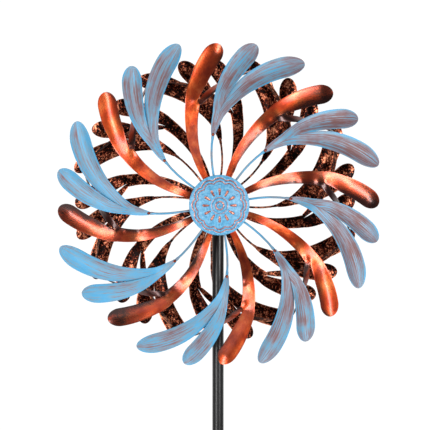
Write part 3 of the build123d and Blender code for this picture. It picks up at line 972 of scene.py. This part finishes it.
def put_cover(name, node, facing_front, grid, shares, material):
    """A cover as one closed shell in place of its CAD node."""
    facets = grid.shape[1]
    index = np.arange(grid.shape[0] * facets).reshape(-1, facets)
    faces = grid_faces(index, closed=True)
    faces += [index[0].tolist()[::-1], index[-1].tolist()]
    points = to_world(grid, 0.0, facing_front).reshape(-1, 3)
    cover = put_mesh(name, points, faces, material, {"copper": shares.ravel()})
    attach(cover, "front_rotor" if facing_front else "rear_rotor")
    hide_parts(node)


def rubbed_blue_enamel():
    """Sky blue enamel on stamped steel, rubbed back so that copper shows in the pattern.

    The copper sits in the grooves and teardrops, with a few soft rubbed patches
    near the rim; the paint itself is satin with faint brush marks.
    """
    material, add = new_finish("rubbed_blue_enamel")
    place = add("TexCoord", {}).outputs["Object"]
    copper_share = add("Attribute", {}, attribute_name="copper").outputs["Fac"]
    breaks = add("TexNoise", {"Vector": place, "Scale": per_mm(3.2), "Detail": 5.0, "Roughness": 0.7})
    rubs = add("TexNoise", {"Vector": place, "Scale": per_mm(5), "Detail": 6.0, "Roughness": 0.75})
    broken = add("MapRange", {"Value": breaks, 1: 0.3, 2: 0.55, 3: 0.45, 4: 1.0})
    kept = add("Math", {0: copper_share, 1: broken}, operation="MULTIPLY")
    cover = add("MapRange", {"Value": kept, 1: 0.22, 2: 0.62, 3: 0.0, 4: 0.95})
    blue = add("ValToRGB", {"Fac": rubs}, stops=[
        (0.34, hex_colour("#35759B")), (0.50, hex_colour("#5096BC")), (0.68, hex_colour("#82AFC9")),
    ])
    copper = add("ValToRGB", {"Fac": breaks}, stops=[
        (0.36, hex_colour("#4A1E1A")), (0.48, hex_colour("#A0503A")), (0.62, hex_colour("#EEB094")),
    ])
    colour = add("Mix", {
        "Factor": cover, 6: blue, 7: copper,
    }, data_type="RGBA")
    metal = add("MapRange", {"Value": cover, 3: 0.0, 4: 0.7})
    rough = add("MapRange", {"Value": rubs, 1: 0.3, 2: 0.7, 3: 0.32, 4: 0.5})
    bump = add("Bump", {"Height": breaks, "Strength": 0.15, "Distance": 0.0002})
    add("shader", {
        "Base Color": colour, "Metallic": metal,
        "Roughness": rough, "Normal": bump, "IOR": 1.5,
    })
    return material


def black_moulded_plastic():
    """Black polypropylene, injection moulded: satin, with a fine spark-eroded grain."""
    material, add = new_finish("black_moulded_plastic")
    place = add("TexCoord", {}).outputs["Object"]
    grain = add("TexNoise", {"Vector": place, "Scale": per_mm(0.9), "Detail": 3.0})
    clouds = add("TexNoise", {"Vector": place, "Scale": per_mm(30), "Detail": 3.0})
    colour = add("ValToRGB", {"Fac": clouds}, stops=[
        (0.35, hex_colour("#141416")), (0.65, hex_colour("#1E1E20")),
    ])
    rough = add("MapRange", {"Value": grain, 3: 0.38, 4: 0.52})
    bump = add("Bump", {"Height": grain, "Strength": 0.25, "Distance": 0.0002})
    add("shader", {
        "Base Color": colour, "Roughness": rough,
        "Normal": bump, "IOR": 1.49,
    })
    return material


def plain_steps(radius, angle):
    """Relief of the rear cap: one shallow step and a centre gate mark."""
    step = 0.6 * smooth_rise((34.0 - radius) / 1.5)
    gate = -0.4 * ridge(radius, 0.0, 1.5)
    return step + gate + 0 * angle, np.zeros_like(radius)


medallion_grid, medallion_copper = covered_dome(medallion_radius, flower_relief, 300, 116)
put_cover(
    "embossed_medallion", "front_medallion", True, medallion_grid, medallion_copper,
    rubbed_blue_enamel(),
)
cap_grid, cap_shares = covered_dome(rear_cap_radius, plain_steps, 96, 60)
put_cover(
    "moulded_rear_cap", "rear_hub_cap", False, cap_grid, cap_shares,
    black_moulded_plastic(),
)


# ---- Studio ------------------------------------------------------------------
# A floor of matt paper just under the prongs, two tall upright softboxes in front
# of the spinner, one to each side, and a pale room that is brightest behind it.
def studio_floor():
    """A wide pale floor of matt paper just under the prong tips."""
    material, add = new_finish("pale_paper")
    place = add("TexCoord", {}).outputs["Object"]
    fibre = add("TexNoise", {"Vector": place, "Scale": per_mm(60), "Detail": 4.0})
    colour = add("ValToRGB", {"Fac": fibre}, stops=[
        (0.3, hex_colour("#ECECEC")), (0.7, hex_colour("#F2F2F2")),
    ])
    add("shader", {"Base Color": colour, "Roughness": 0.8})
    reach = 3.2
    across = np.linspace(-reach, reach, 13)
    x, y = np.meshgrid(across, across)
    points = np.stack([x, y, np.full_like(x, cad_low.z - 0.001)], axis=-1)
    index = np.arange(x.size).reshape(x.shape)
    put_mesh("studio_floor", points, grid_faces(index), material)


def softbox(name, place, width, height, power):
    """A tall rectangular area light that faces the spinner, upright."""
    lamp = bpy.data.lights.new(name, "AREA")
    lamp.shape = "RECTANGLE"
    lamp.size = width
    lamp.size_y = height
    lamp.energy = power
    stand = bpy.data.objects.new(name, lamp)
    bpy.context.scene.collection.objects.link(stand)
    stand.location = place
    stand.rotation_mode = "QUATERNION"
    stand.rotation_quaternion = Vector((-place.x, -place.y, 0)).to_track_quat("-Z", "Y")
    stand.visible_camera = False


def pale_room(front_level, back_level):
    """World light that brightens smoothly from in front of the spinner to behind it.

    The room itself looks equally pale from every side.
    """
    world = bpy.data.worlds.new("pale_room")
    bpy.context.scene.world = world
    world.use_nodes = True
    tree = world.node_tree
    way = tree.nodes.new("ShaderNodeTexCoord")
    split = tree.nodes.new("ShaderNodeSeparateXYZ")
    level = tree.nodes.new("ShaderNodeMapRange")
    level.interpolation_type = "SMOOTHSTEP"
    level.inputs["From Min"].default_value = -0.2
    level.inputs["From Max"].default_value = 0.6
    level.inputs["To Min"].default_value = front_level
    level.inputs["To Max"].default_value = back_level
    background = tree.nodes["Background"]
    background.inputs["Color"].default_value = hex_colour("#FFFFFF")
    tree.links.new(way.outputs["Generated"], split.inputs[0])
    tree.links.new(split.outputs["Y"], level.inputs["Value"])
    seen = tree.nodes.new("ShaderNodeLightPath")
    strength = tree.nodes.new("ShaderNodeMix")
    strength.inputs["B"].default_value = back_level
    tree.links.new(seen.outputs["Is Camera Ray"], strength.inputs["Factor"])
    tree.links.new(level.outputs["Result"], strength.inputs["A"])
    tree.links.new(strength.outputs["Result"], background.inputs["Strength"])


hub = Vector((0, -0.04, axle_height * MM))
studio_floor()
softbox("left_softbox", hub + Vector((-1.5, -1.9, -0.35)), 0.5, 2.6, 54)
softbox("right_softbox", hub + Vector((1.35, -2.1, 0.1)), 0.5, 2.4, 62)
pale_room(0.13, 1.05)
bpy.context.scene.view_settings.view_transform = "Standard"

# The camera stands a little to the left and a little above the hub, and aims just
# left of it and below it, as the framing needs.
camera_azimuth = math.radians(3.5)
camera_elevation = math.radians(4.0)
camera_distance = 1.8
picture_width = 0.809       # at the hub
aim_left = 0.0081
aim_down = 0.0186
back = Vector((
    -math.sin(camera_azimuth) * math.cos(camera_elevation),
    -math.cos(camera_azimuth) * math.cos(camera_elevation),
    math.sin(camera_elevation),
))
lens = bpy.data.cameras.new("camera")
lens.lens = lens.sensor_width * camera_distance / picture_width
camera = bpy.data.objects.new("camera", lens)
bpy.context.scene.collection.objects.link(camera)
camera.location = hub + back * camera_distance
aim = hub - Vector((math.cos(camera_azimuth), -math.sin(camera_azimuth), 0)) * aim_left
aim.z -= aim_down
camera.rotation_mode = "QUATERNION"
camera.rotation_quaternion = (aim - camera.location).to_track_quat("-Z", "Y")
bpy.context.scene.camera = camera
